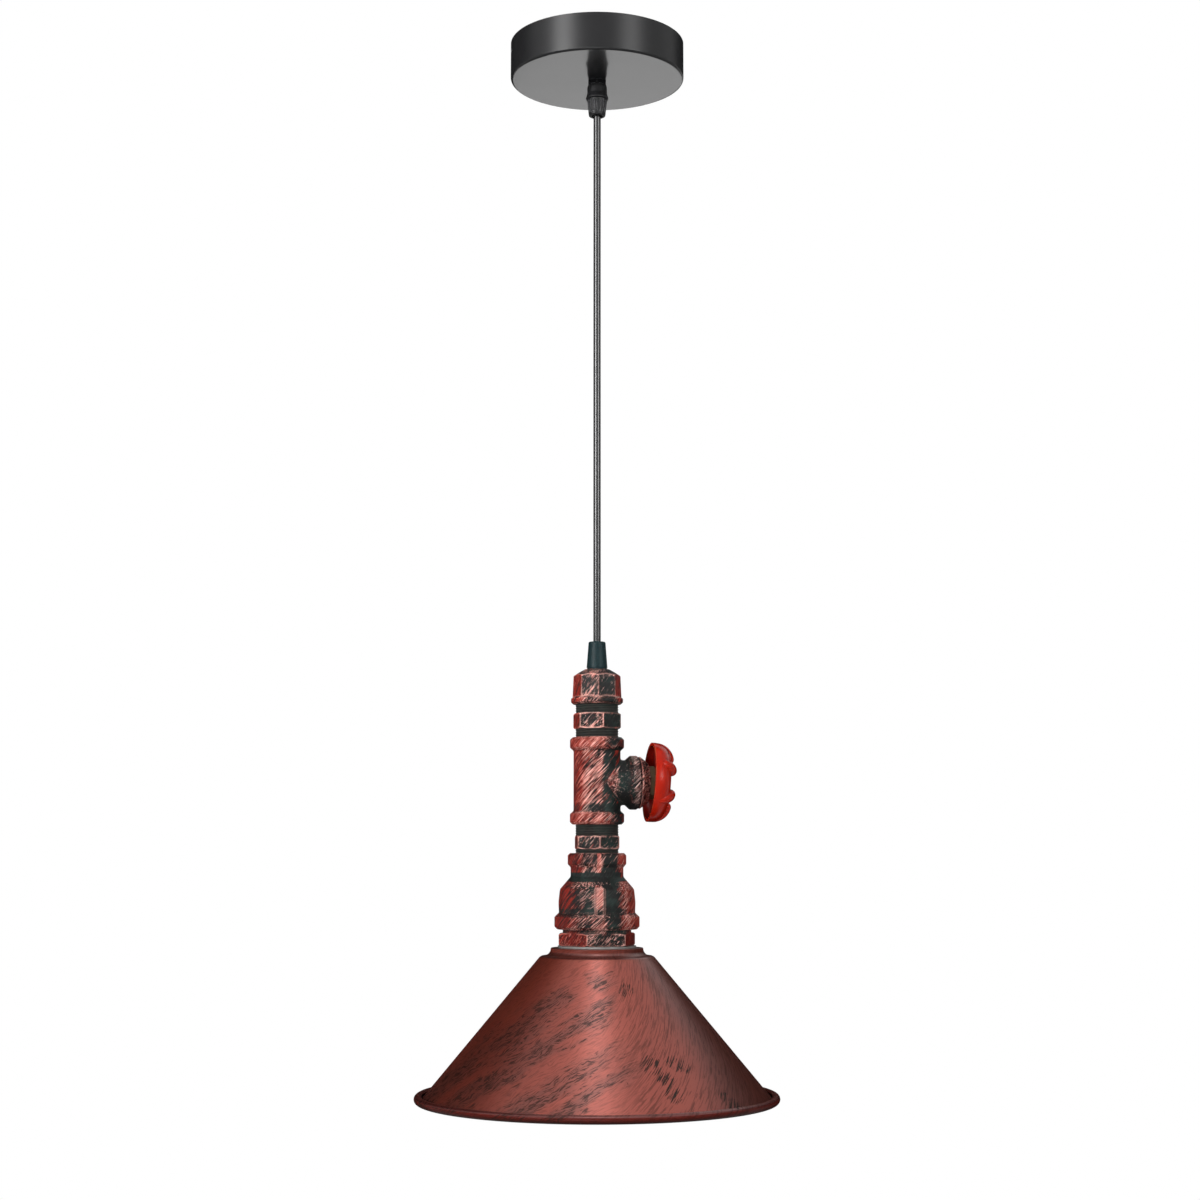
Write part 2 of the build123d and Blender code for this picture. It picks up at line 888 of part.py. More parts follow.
def make_handwheel():
    wheel = wheel_dish(0, hub_face - 0.5, wheel_back) + wheel_fingers()
    wheel -= wheel_dish(wheel_wall, hub_face - 3.0, wheel_back - 2)
    wheel += upright(8.0, hub_face - 0.5, hub_back + 0.5)
    hole = square_side + 0.6
    seat = (hub_face + hub_back) / 2
    wheel -= Pos(0, 0, seat) * Box(hole, hole, 30)
    return on_branch(Pos(0, 0, seat) * Rot(wheel_yaw, wheel_lean, 0) * Pos(0, 0, -seat) * wheel)


def make_wheel_washer():
    return on_branch(tube(6.0, 2.6, hub_face + 1.0, hub_face))


def make_wheel_nut():
    return on_branch(nut(4.6, 2.55, hub_face + 3.8, hub_face + 1.0, 10))


pieces = {
    "ceiling_bracket": make_ceiling_bracket,
    "rose_cup": make_rose_cup,
    "rose_grub_screws": make_rose_grub_screws,
    "terminal_block": make_terminal_block,
    "terminal_tubes": make_terminal_tubes,
    "terminal_screws": make_terminal_screws,
    "terminal_block_screws": make_terminal_block_screws,
    "rose_earth_screw": make_rose_earth_screw,
    "rose_earth_tag": make_rose_earth_tag,
    "rose_nipple": make_rose_nipple,
    "rose_lockwasher": make_rose_lockwasher,
    "rose_locknut": make_rose_locknut,
    "rose_hex_nut": make_rose_hex_nut,
    "upper_grip_body": make_upper_grip_body,
    "upper_grip_collar": make_upper_grip_collar,
    "flex_rose_tail": make_flex_rose_tail,
    "rose_live_core": make_rose_live_core,
    "rose_neutral_core": make_rose_neutral_core,
    "rose_earth_core": make_rose_earth_core,
    "flex_neck": make_flex_neck,
    "flex": make_flex,
    "lower_grip_collar": make_lower_grip_collar,
    "lower_grip_body": make_lower_grip_body,
    "lower_grip_locknut": make_lower_grip_locknut,
    "top_cap": make_top_cap,
    "upper_nipple": make_upper_nipple,
    "tee": make_tee,
    "lower_nipple": make_lower_nipple,
    "reducer": make_reducer,
    "hex_bush": make_hex_bush,
    "lampholder_nipple": make_lampholder_nipple,
    "lampholder_locknut": make_lampholder_locknut,
    "lamp_earth_tag": make_lamp_earth_tag,
    "lampholder_cap": make_lampholder_cap,
    "lampholder_skirt": make_lampholder_skirt,
    "lampholder_insulator": make_lampholder_insulator,
    "screw_shell": make_screw_shell,
    "centre_contact": make_centre_contact,
    "lampholder_terminals": make_lampholder_terminals,
    "shade_washer": make_shade_washer,
    "shade": make_shade,
    "shade_ring": make_shade_ring,
    "flex_lamp_tail": make_flex_lamp_tail,
    "lamp_live_core": make_lamp_live_core,
    "lamp_neutral_core": make_lamp_neutral_core,
    "lamp_earth_core": make_lamp_earth_core,
    "valve_bonnet": make_valve_bonnet,
    "gland_packing": make_gland_packing,
    "gland_nut": make_gland_nut,
    "spindle": make_spindle,
    "handwheel": make_handwheel,
    "wheel_washer": make_wheel_washer,
    "wheel_nut": make_wheel_nut,
}

for name, make in pieces.items():
    save(name, make())
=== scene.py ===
from math import cos, pi, radians, sin

import bpy
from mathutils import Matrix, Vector


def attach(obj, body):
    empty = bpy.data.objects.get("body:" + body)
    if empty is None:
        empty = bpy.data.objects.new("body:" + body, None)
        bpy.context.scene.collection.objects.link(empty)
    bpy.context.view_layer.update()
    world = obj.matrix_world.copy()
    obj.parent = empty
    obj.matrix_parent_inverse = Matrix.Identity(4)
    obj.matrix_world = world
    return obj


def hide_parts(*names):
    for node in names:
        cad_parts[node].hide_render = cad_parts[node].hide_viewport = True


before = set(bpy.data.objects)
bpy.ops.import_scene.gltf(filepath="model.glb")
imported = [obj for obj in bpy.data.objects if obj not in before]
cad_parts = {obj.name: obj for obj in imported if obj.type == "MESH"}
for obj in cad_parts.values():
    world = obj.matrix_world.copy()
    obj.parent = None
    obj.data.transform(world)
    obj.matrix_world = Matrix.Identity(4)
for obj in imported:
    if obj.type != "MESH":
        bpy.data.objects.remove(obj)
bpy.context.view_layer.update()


# Ceiling strap with its screws, nuts and stem. Pressed and turned steel under a thin zinc plating,
# screwed to the ceiling first. Only the cup's open top shows these pieces.
class Mark:
    """One socket of a finish. Sums on it add Math nodes, and node() adds a node of any other type."""

    def __init__(self, tree, socket):
        self.tree = tree
        self.socket = socket

    def node(self, kind, settings=None, values=None, out=0):
        """A node with its settings, then its values or links. out is one output or a tuple of them."""
        made = self.tree.nodes.new("ShaderNode" + kind)
        for name, value in (settings or {}).items():
            setattr(made, name, value)
        for name, value in (values or {}).items():
            if isinstance(value, Mark):
                self.tree.links.new(value.socket, made.inputs[name])
            else:
                made.inputs[name].default_value = value
        if isinstance(out, tuple):
            return [Mark(self.tree, made.outputs[key]) for key in out]
        return Mark(self.tree, made.outputs[out])

    def maths(self, operation, first, second=0.0):
        return self.node("Math", {"operation": operation}, {0: first, 1: second})

    def __add__(self, other):
        return self.maths("ADD", self, other)

    def __radd__(self, other):
        return self.maths("ADD", other, self)

    def __sub__(self, other):
        return self.maths("SUBTRACT", self, other)

    def __rsub__(self, other):
        return self.maths("SUBTRACT", other, self)

    def __mul__(self, other):
        return self.maths("MULTIPLY", self, other)

    def __rmul__(self, other):
        return self.maths("MULTIPLY", other, self)

    def __truediv__(self, other):
        return self.maths("DIVIDE", self, other)

    def __pow__(self, other):
        return self.maths("POWER", self, other)

    def __abs__(self):
        return self.maths("ABSOLUTE", self)

    def __or__(self, other):
        return self.maths("MAXIMUM", self, other)


def tint(red, green, blue):
    """Colour from the usual 0 to 255 numbers, as the shader wants it."""
    shares = [part / 255 for part in (red, green, blue)]
    linear = [((s + 0.055) / 1.055) ** 2.4 if s > 0.04 else s / 12.92 for s in shares]
    return (*linear, 1)


def new_finish(name):
    """Empty material, and the piece's own coordinates in it."""
    skin = bpy.data.materials.new(name)
    skin.use_nodes = True
    own = skin.node_tree.nodes.new("ShaderNodeTexCoord").outputs["Object"]
    return skin, Mark(skin.node_tree, own)


def lay(skin, fed):
    """Gives the material's shader its numbers and its marks."""
    shader = skin.node_tree.nodes["Principled BSDF"]
    for name, value in fed.items():
        if isinstance(value, Mark):
            skin.node_tree.links.new(value.socket, shader.inputs[name])
        else:
            shader.inputs[name].default_value = value


def grain(place, scale, detail=3.0, rough=0.55, stretch=(1, 1, 1), shift=(0, 0, 0)):
    """Cloudy noise round 0.5, drawn out along an axis where its stretch is below 1."""
    spot = place.node("Mapping", None, {"Vector": place, "Location": shift, "Scale": stretch})
    values = {"Vector": spot, "Scale": scale, "Detail": detail, "Roughness": rough}
    return place.node("TexNoise", None, values)


def mixed(mask, under, over):
    """The colour over, laid on the colour under where the mask is 1. Inputs 6 and 7 are the node's
    two colours, and output 2 is their mix."""
    return mask.node("Mix", {"data_type": "RGBA"}, {0: mask, 6: under, 7: over}, 2)


def raised(height, depth):
    return height.node("Bump", None, {"Height": height, "Distance": depth, "Strength": 1.0})


def dress(skin, *nodes):
    for name in nodes:
        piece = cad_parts[name]
        piece.data.materials.clear()
        piece.data.materials.append(skin)


zinc, place = new_finish("zinc_plate")
spangle = grain(place, 900, 2, 0.5)
cloud = grain(place, 120, 3, 0.6)
lay(
    zinc,
    {
        "Base Color": mixed(cloud, tint(176, 180, 184), tint(208, 209, 208)),
        "Metallic": 1.0,
        "Roughness": 0.28 + spangle * 0.22,
        "Normal": raised(spangle, 0.00004),
    },
)
dress(
    zinc,
    "ceiling_bracket",
    "rose_grub_screws",
    "terminal_block_screws",
    "rose_earth_screw",
    "rose_nipple",
    "rose_lockwasher",
    "rose_locknut",
)


# Terminal block under the strap: three poles moulded in white nylon, held by two screws.
# Brass tubes are pushed into it with their clamping screws, and a brass tag makes the earth point.
def fade(mark, low, high):
    """0 below low, 1 above high, with a soft step between."""
    settings = {"interpolation_type": "SMOOTHSTEP"}
    return mark.node("MapRange", settings, {"Value": mark, "From Min": low, "From Max": high})


nylon, place = new_finish("white_nylon")
flow = grain(place, 260, 3, 0.5, stretch=(0.3, 1, 1))
lay(
    nylon,
    {
        "Base Color": mixed(flow, tint(222, 218, 206), tint(240, 238, 230)),
        "Roughness": 0.38 + flow * 0.16,
        "Normal": raised(grain(place, 1600, 2), 0.00003),
    },
)
dress(nylon, "terminal_block")

brass, place = new_finish("plain_brass")
tarnish = fade(grain(place, 150, 5, 0.65), 0.42, 0.72)
turning = grain(place, 1400, 2, 0.5)
lay(
    brass,
    {
        "Base Color": mixed(tarnish, tint(222, 184, 108), tint(160, 118, 62)),
        "Metallic": 1.0,
        "Roughness": 0.24 + tarnish * 0.2 + turning * 0.08,
        "Normal": raised(turning, 0.00003),
    },
)
dress(brass, "terminal_tubes", "terminal_screws", "rose_earth_tag")


# Wires from the flex to the terminals of the rose and of the lampholder: copper in soft insulation.
# Live is brown, neutral is blue, and earth is green with a yellow stripe.
stripe_rate = 900


def parts_of(vector):
    return vector.node("SeparateXYZ", None, {0: vector}, (0, 1, 2))


def rubbed(place):
    return grain(place, 500, 3, 0.6)


def striped(place):
    wide, deep, high = parts_of(place)
    wave = (wide + deep + high) * stripe_rate
    return fade(wave.maths("SINE", wave), -0.2, 0.2)


def wire_finish(name, colour, second, pattern):
    """The pattern says where the second colour lies."""
    skin, place = new_finish(name)
    rub = rubbed(place)
    lay(
        skin,
        {
            "Base Color": mixed(pattern(place), colour, second),
            "Roughness": 0.34 + rub * 0.14,
            "Normal": raised(rub, 0.00003),
        },
    )
    return skin


brown_wire = wire_finish("brown_wire", tint(96, 54, 30), tint(116, 70, 42), rubbed)
blue_wire = wire_finish("blue_wire", tint(34, 78, 160), tint(56, 104, 186), rubbed)
earth_wire = wire_finish("earth_wire", tint(36, 122, 54), tint(226, 198, 40), striped)
dress(brown_wire, "rose_live_core", "lamp_live_core")
dress(blue_wire, "rose_neutral_core", "lamp_neutral_core")
dress(earth_wire, "rose_earth_core", "lamp_earth_core")


# Rose cup: a shallow cup of pressed steel, sprayed satin black, with a glossier underside.
# It is pushed up over the strap and held by two screws through its side.
def facing(place):
    """The way that the surface faces."""
    return place.node("TexCoord", None, None, "Normal")


rose_black, place = new_finish("satin_black")
peel = grain(place, 1500, 2, 0.5)
haze = grain(place, 26, 3, 0.55)
downward = 0 - parts_of(facing(place))[2]
lay(
    rose_black,
    {
        "Base Color": mixed(haze, tint(18, 18, 19), tint(25, 25, 26)),
        "Roughness": 0.32 + haze * 0.08,
        "Specular IOR Level": 0.18,
        "Coat Weight": fade(downward, 0.9, 0.97),
        "Coat Roughness": 0.12,
        "Coat IOR": 1.65,
        "Normal": raised(peel, 0.00002),
    },
)
dress(rose_black, "rose_cup")


# Cord grip under the rose: a blackened steel nut, then a flared body and a ribbed collar of black nylon.
# They are screwed onto the hollow stem, and the collar clamps the flex.
def dot(first, second):
    settings = {"operation": "DOT_PRODUCT"}
    return first.node("VectorMath", settings, {0: first, 1: second}, "Value")


def edge_line(place, radius):
    """How far the surface turns within this radius: 0 on flats, more at edges."""
    flat = place.node("NewGeometry", None, None, "Normal")
    soft = place.node("Bevel", {"samples": 8}, {"Radius": radius})
    return 1 - dot(flat, soft)


def grip_finish(name, colour, worn, edge_wear_and_glint):
    skin, place = new_finish(name)
    rub = grain(place, 700, 4, 0.6)
    # Paler edges: wear, and partly a painted highlight along them.
    edge = fade(edge_line(place, 0.0008) + (rub - 0.5) * 0.1, 0.04, 0.14)
    lay(
        skin,
        {
            "Base Color": mixed(edge, mixed(fade(rub, 0.4, 0.75), colour, worn), edge_wear_and_glint),
            "Roughness": 0.36 + rub * 0.18,
            "Specular IOR Level": 0.14,
            "Normal": raised(grain(place, 2400, 2), 0.00004),
        },
    )
    return skin


nut_black, place = new_finish("blackened_steel")
# Paler steel on the nut's edges: wear, and partly painted glints.
rub = fade(edge_line(place, 0.0012) + (grain(place, 420, 4, 0.6) - 0.5) * 0.3, 0.08, 0.24)
lay(
    nut_black,
    {
        "Base Color": mixed(rub, tint(22, 23, 25), tint(84, 85, 87)),
        "Metallic": 0.9,
        "Roughness": 0.2 + rub * 0.15,
        "Normal": raised(rub, 0.00003),
    },
)
dress(nut_black, "rose_hex_nut")
black_nylon = grip_finish("black_nylon", tint(18, 18, 19), tint(34, 34, 36), tint(92, 92, 94))
dress(black_nylon, "upper_grip_body", "upper_grip_collar")


# Flex: three wires in a round black sheath. It hangs straight under the lamp's weight,
# clamped in the upper grip and again in the lower one.
flex_top = -0.0556
flex_end = -0.456
flex_width = 0.0055
sheath, place = new_finish("flex_sheath")
rub = grain(place, 300, 3, 0.55, stretch=(1, 1, 0.08))
lay(
    sheath,
    {
        "Base Color": mixed(rub, tint(24, 24, 25), tint(34, 34, 35)),
        "Roughness": 0.18 + rub * 0.06,
        "Specular IOR Level": 0.36,
    },
)
flex_line = bpy.data.curves.new("hanging_flex", "CURVE")
flex_line.dimensions = "3D"
flex_line.bevel_depth = flex_width / 2
flex_line.bevel_resolution = 8
flex_line.resolution_u = 24
flex_line.use_fill_caps = True
run = flex_line.splines.new("NURBS")
heights = [flex_top, -0.16, -0.26, -0.36, flex_end]
run.points.add(len(heights) - 1)
for point, z in zip(run.points, heights):
    point.co = (0, 0, z, 1)
run.order_u = 3
run.use_endpoint_u = True
flex_line.materials.append(sheath)
flex = bpy.data.objects.new("hanging_flex", flex_line)
bpy.context.scene.collection.objects.link(flex)
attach(flex, "flex_run")
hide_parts("flex", "flex_neck")
dress(sheath, "flex_rose_tail", "flex_lamp_tail")


# Lower cord grip: a smooth tapered collar of dark blue-green nylon on the lamp's cap.
# It clamps the flex, and a plated nut inside the cap locks it.
green_nylon = grip_finish("dark_green_nylon", tint(8, 28, 31), tint(16, 42, 45), tint(36, 64, 68))
dress(green_nylon, "lower_grip_collar", "lower_grip_body")
dress(zinc, "lower_grip_locknut")


# Iron pipe fittings, screwed together: cap, nipple, tee, nipple, reducer and bush. Each is painted black,
# then brushed almost dry with red and pink, so that the strokes, the beads and the edges carry the paint.
branch_z = -0.5544
branch_blend = 0.003
bare_neck = 0.0149
thin_pink, thick_pink = tint(168, 76, 65), tint(240, 180, 167)
# Redder colours for both limbs of the fittings, where they stand for a painted sheen.
thin_sheen_red, thick_sheen_red = tint(150, 40, 31), tint(198, 86, 70)
thin_grey, thick_grey = tint(112, 108, 104), tint(206, 200, 194)
dark_red, bright_red = tint(58, 15, 14), tint(152, 46, 36)
black_iron, green_iron, rubbed_iron = tint(18, 18, 18), tint(30, 42, 39), tint(62, 66, 62)
branch_black = tint(38, 40, 39)

# The photograph's side is turned by photo_turn to the left of the lamp's front.
photo_turn = radians(9.3)
facing_right = (cos(photo_turn), -sin(photo_turn), 0)


def along_branch(place):
    """Coordinates with the branch's axis upright."""
    wide, deep, high = parts_of(place)
    return place.node("CombineXYZ", None, {0: high - branch_z, 1: deep, 2: wide})


def strokes(place, lean, reach, fine, shift=0.0):
    """Brush hairs wound round the upright axis at this angle, on the given radius."""
    wind = parts_of(place)[2] * (-cos(lean) / sin(lean) / reach)
    values = {"Vector": place, "Angle": wind}
    wound = place.node("VectorRotate", {"rotation_type": "Z_AXIS"}, values)
    return grain(wound, fine, 4, 0.6, stretch=(1, 1, 0.1), shift=(shift, 0, 0))


def window(mark, low, high, soft):
    """1 between low and high, fading over the soft width at both ends."""
    return fade(mark, low - soft, low) * (1 - fade(mark, high, high + soft))


def off_axis(wide, deep):
    """Distance from the upright axis."""
    return (wide * wide + deep * deep) ** 0.5


def openness(place, distance):
    """1 in the open, less where other surfaces stand within this distance."""
    return place.node("AmbientOcclusion", {"samples": 8}, {"Distance": distance}, "AO")


def evenly(wide, deep, high):
    return wide * 0


def dry_brushed(
    name,
    lean,
    reach,
    cover,
    more=evenly,
    flats=0.0,
    right_shade_depth=1.0,
    neck=0.0,
    branch_from=1.0,
    grey_from=1.0,
):
    """lean and reach wind the strokes, and cover is how much paint took. more adds paint by place,
    flats starves the middles of facets, right_shade_depth is how much paint the side to the right of the
    front loses, a painted shade, and neck is the radius of a bare thread. Strokes follow the branch from
    branch_from on, and from grey_from on the paint is greyer."""
    skin, place = new_finish(name)
    wide, deep, high = parts_of(place)
    outer = fade(wide, branch_from, branch_from + branch_blend)

    # What the brush left: hairs of four widths, and patches where it ran dry.
    bristles = strokes(place, lean, reach, 1150)
    bristles = bristles + outer * (strokes(along_branch(place), lean, reach, 1150) - bristles)
    fine = strokes(place, lean, reach, 2400, 0.6)
    broad = strokes(place, lean, reach, 520, 0.4)
    hatch = strokes(place, -lean, reach, 1300, 0.2)
    patch = grain(place, 95, 3, 0.6, shift=(0, 0.3, 0))
    texture = (bristles - 0.5) * 1.5 + (fine - 0.5) * 0.9

    # Where the paint lies: edges first, facets and corners less, none in creases as painted shade, and
    # the sides by their heading.
    turn = edge_line(place, 0.003)
    line = fade(turn + (fine - 0.5) * 0.16 + (patch - 0.5) * 0.14, 0.045, 0.1)
    line = line * (1 - window(wide, grey_from, branch_from + branch_blend, 0.002))
    hollow = 1 - fade(turn, 0.002, 0.03)
    outside_crease_shade = fade(openness(place, 0.004), 0.45, 0.85)
    bare = 1 - fade(off_axis(wide, deep), neck, neck + 0.0003)
    # By heading, the side right of the front gets less paint, a painted shade, and both limbs turn red, a
    # painted sheen.
    aside = dot(facing(place), facing_right) + (broad - 0.5) * 0.5 + (patch - 0.5) * 0.3
    right_shade = window(aside, 0.36, 0.74, 0.2) * (1 - outer) * right_shade_depth
    left = fade(0 - aside, 0.36, 0.76)
    right = fade(aside, 0.74, 0.92) * (1 - outer)
    extra = more(wide, deep, high) - hollow * flats + cover

    # Red went on first, then pink, which also lies in the crossed strokes and on the edges. Pink toward
    # the front, lightest on the edges, stands partly for a painted highlight.
    red_level = (broad - 0.5) * 0.7 + texture * 0.5 + (patch - 0.5) * 0.5
    red_level = red_level + left * 0.14 + right * 0.2 - right_shade * 0.16
    red_coat = fade(red_level + extra, -0.06, 0.06) * outside_crease_shade * (1 - bare)
    pink_level = texture + (patch - 0.5) * 0.5 - left * 0.12 - right * 0.14 - right_shade * 0.22
    hatch_level = (hatch - 0.5) * 1.2 + (patch - 0.5) * 0.4 - right_shade * 0.1 - 0.1
    edge = line * (1 - right_shade * 0.8) * (1 - right * 0.7) * (1 - outer * 0.85)
    pink_coat = fade(pink_level + extra, 0.0, 0.08) | fade(hatch_level + extra, 0.0, 0.06) * 0.7 | edge
    pink_coat = pink_coat * outside_crease_shade * (1 - bare)

    thick = fade(texture + (patch - 0.5) * 0.3, 0.0, 0.22) | line
    grey = fade(wide, grey_from, grey_from + 0.004) * 0.45
    pink = mixed(thick, thin_pink, thick_pink)
    pink = mixed((left | right) * 0.8, pink, mixed(thick, thin_sheen_red, thick_sheen_red))
    pink = mixed(grey, pink, mixed(thick, thin_grey, thick_grey))
    red = mixed(fade(broad + texture * 0.4, 0.35, 0.7), dark_red, bright_red)
    red = mixed(grey, red, branch_black)
    iron = mixed(fade(patch, 0.42, 0.62), black_iron, green_iron)
    iron = mixed(fade(texture, 0.02, 0.3) * 0.5, iron, rubbed_iron)
    lay(
        skin,
        {
            "Base Color": mixed(pink_coat, mixed(red_coat, iron, red), pink),
            "Roughness": 0.46 + pink_coat * 0.1,
            "Specular IOR Level": 0.12,
            "Normal": raised(pink_coat * 0.6 + red_coat * 0.3 + bristles * 0.3, 0.00016),
        },
    )
    return skin


def tee_paint(wide, deep, high):
    """More on the beads, little on the foot of the barrel and on the branch."""
    barrel = window(high, -0.5752, -0.5312, 0.001) * (1 - fade(wide, 0.02, 0.023))
    foot = window(high, -0.5745, -0.5715, 0.003)
    root = window(wide, 0.015, 0.0235, 0.003)
    return (1 - barrel) * 0.1 - foot * 0.16 - fade(wide, 0.004, 0.02) * 0.12 - root * 0.12


def reducer_paint(wide, deep, high):
    """More on the rib and the beads, and on the right limb as a painted sheen, little beside the rib, in
    the groove and at the foot.
    """
    rib_turn = radians(-4.8)
    beside = wide * cos(rib_turn) + deep * sin(rib_turn)
    barrel = window(high, -0.6455, -0.63, 0.004)
    rib = window(beside, -0.003, 0.003, 0.0004) * barrel
    seam = window(beside, -0.0012, 0.0012, 0.0004) * fade(high, -0.622, -0.62)
    green = window(beside, 0.004, 0.009, 0.003) * barrel
    dim = window(beside, -0.009, -0.0036, 0.004) * barrel
    limb_sheen = fade(beside, 0.011, 0.017)
    groove = window(high, -0.6246, -0.6196, 0.0012)
    foot = window(high, -0.6475, -0.6455, 0.002)
    bead = fade(high, -0.616, -0.6155) | (1 - fade(high, -0.6505, -0.65))
    added = rib * 0.12 + seam * 0.25 + bead * 0.04 + limb_sheen * 0.27
    return added - green * 0.4 - dim * 0.06 - groove * 0.4 - foot * 0.14


brushed_cap = dry_brushed(
    "brushed_cap", lean=radians(55), reach=0.017, cover=-0.02, flats=0.07, right_shade_depth=0.5
)
brushed_upper_nipple = dry_brushed(
    "brushed_upper_nipple", lean=radians(50), reach=0.016, cover=0.02, flats=0.14, neck=bare_neck
)
brushed_tee = dry_brushed(
    "brushed_tee",
    lean=radians(45),
    reach=0.017,
    cover=0.0,
    more=tee_paint,
    branch_from=0.0205,
    grey_from=0.013,
)
brushed_lower_nipple = dry_brushed(
    "brushed_lower_nipple",
    lean=radians(50),
    reach=0.016,
    cover=0.0,
    flats=0.14,
    right_shade_depth=0.4,
    neck=bare_neck,
)
brushed_reducer = dry_brushed(
    "brushed_reducer", lean=radians(45), reach=0.026, cover=-0.085, more=reducer_paint
)
brushed_bush = dry_brushed("brushed_bush", lean=radians(50), reach=0.026, cover=0.02, flats=0.03)
dress(brushed_cap, "top_cap")
dress(brushed_upper_nipple, "upper_nipple")
dress(brushed_tee, "tee")
dress(brushed_lower_nipple, "lower_nipple")
dress(brushed_reducer, "reducer")
dress(brushed_bush, "hex_bush")


# Bare threads of the two nipples, between the fittings: cut in the iron, black like it and rubbed on
# the crests. Each piece is one stretch of thread that the fittings leave open.
inside = -1
crest_from, crest_full = 0.01514, 0.01526


def wound_thread(name, low, high, middle, swing, pitch, sheet, side):
    """Thread of thin sheet about the upright axis, cut flat at both heights. Its surface swings about the
    middle radius, and side is where the sheet lies: inside that surface, or half to each side."""
    profile_steps = 12
    round_steps = 72
    bpy.ops.object.select_all(action="DESELECT")
    bpy.ops.mesh.primitive_plane_add(size=0.001, location=(middle - swing, 0, low - pitch))
    thread = bpy.context.object
    thread.name = name
    bpy.ops.object.transform_apply(location=True)
    bpy.ops.object.mode_set(mode="EDIT")
    bpy.ops.mesh.select_all(action="SELECT")
    bpy.ops.mesh.merge(type="CENTER")
    for step in range(profile_steps):
        before, after = (cos(2 * pi * s / profile_steps) for s in (step, step + 1))
        move = ((before - after) * swing, 0, pitch / profile_steps)
        bpy.ops.mesh.extrude_region_move(TRANSFORM_OT_translate={"value": move})
    bpy.ops.object.mode_set(mode="OBJECT")
    turns = thread.modifiers.new("turns", "SCREW")
    turns.axis = "Z"
    turns.screw_offset = pitch
    turns.iterations = int((high - low) / pitch) + 2
    turns.steps = round_steps
    turns.render_steps = round_steps
    bpy.ops.object.modifier_apply(modifier=turns.name)
    bpy.ops.object.mode_set(mode="EDIT")
    bpy.ops.mesh.select_all(action="SELECT")
    bpy.ops.mesh.remove_doubles(threshold=0.00001)
    for height, upward in ((low, -1), (high, 1)):
        bpy.ops.mesh.select_all(action="SELECT")
        bpy.ops.mesh.bisect(plane_co=(0, 0, height), plane_no=(0, 0, upward), clear_outer=True)
    bpy.ops.mesh.select_all(action="SELECT")
    bpy.ops.mesh.normals_make_consistent(inside=False)
    bpy.ops.object.mode_set(mode="OBJECT")
    wall = thread.modifiers.new("wall", "SOLIDIFY")
    wall.thickness = sheet
    wall.offset = side
    bpy.ops.object.modifier_apply(modifier=wall.name)
    bpy.ops.object.shade_smooth_by_angle(angle=radians(40))
    return thread


bare_thread, place = new_finish("bare_thread")
wide, deep, high = parts_of(place)
rub = grain(place, 420, 4, 0.6)
crest = fade(off_axis(wide, deep) + (rub - 0.5) * 0.0006, crest_from, crest_full)
cut_iron = mixed(fade(grain(place, 95, 3, 0.6), 0.42, 0.62), tint(14, 15, 15), tint(22, 32, 30))
lay(
    bare_thread,
    {
        "Base Color": mixed(crest * 0.4, cut_iron, tint(66, 62, 58)),
        "Roughness": 0.46 + rub * 0.16,
        "Specular IOR Level": 0.1,
        "Normal": raised(rub, 0.00006),
    },
)
for name, low, high in (
    ("cap_thread", -0.5044, -0.4977),
    ("tee_top_thread", -0.5219, -0.5155),
    ("tee_foot_thread", -0.5928, -0.5845),
    ("reducer_thread", -0.6052, -0.6021),
):
    open_thread = wound_thread(
        name,
        low,
        high,
        middle=0.01501,
        swing=0.00021,
        pitch=0.001814,
        sheet=0.0003,
        side=inside,
    )
    open_thread.data.materials.append(bare_thread)
    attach(open_thread, "lamp")


# Lampholder inside the shade: a cap and a skirt of black moulding round a white ceramic.
# It hangs on a plated stem in the bush. Its contacts, terminals and earth tag are brass.
moulding, place = new_finish("black_moulding")
swirl = grain(place, 120, 4, 0.6)
lay(
    moulding,
    {
        "Base Color": mixed(swirl, tint(22, 21, 20), tint(40, 37, 34)),
        "Roughness": 0.26 + swirl * 0.14,
        "Normal": raised(grain(place, 900, 2), 0.00003),
    },
)
dress(moulding, "lampholder_cap", "lampholder_skirt", "shade_ring")

ceramic, place = new_finish("white_ceramic")
fleck = grain(place, 800, 4, 0.65)
lay(
    ceramic,
    {
        "Base Color": mixed(fleck, tint(226, 222, 212), tint(242, 240, 234)),
        "Roughness": 0.45 + fleck * 0.2,
        "Normal": raised(fleck, 0.00006),
    },
)
dress(ceramic, "lampholder_insulator")
dress(brass, "screw_shell", "centre_contact", "lampholder_terminals", "lamp_earth_tag")
dress(zinc, "lampholder_nipple", "lampholder_locknut")


# Thread of the lampholder: a brass tube of thin sheet, rolled into the round thread that takes a lamp's
# cap, cut flat at both ends and held in the ceramic by the skirt.
half_each_side = 0
rolled_shell = wound_thread(
    "rolled_shell",
    low=-0.701,
    high=-0.681,
    middle=0.01295,
    swing=0.00055,
    pitch=0.00362,
    sheet=0.0004,
    side=half_each_side,
)
rolled_shell.data.materials.append(brass)
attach(rolled_shell, "lamp")
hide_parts("screw_shell")


# Washer between the bush and the shade: plain pale steel, turned on its face.
# The bush presses it onto the top of the shade.
washer_steel, place = new_finish("washer_steel")
dull = grain(place, 300, 4, 0.6)
lay(
    washer_steel,
    {
        "Base Color": mixed(dull, tint(96, 94, 92), tint(150, 148, 145)),
        "Metallic": 0.3,
        "Roughness": 0.4 + dull * 0.2,
        "Normal": raised(dull, 0.00004),
    },
)
dress(washer_steel, "shade_washer")


# Cone shade: spun steel sheet, sprayed red-brown and dragged over with a dry black brush, pale inside.
# The bush clamps its top, and the ring on the lampholder holds it from below.
cone_top = -0.6784
cone_top_reach = 0.04025
cone_flare = 0.8423
shade_red, place = new_finish("streaked_red")
wide, deep, high = parts_of(place)
normal = facing(place)
round_axis = off_axis(wide, deep) + 0.0001

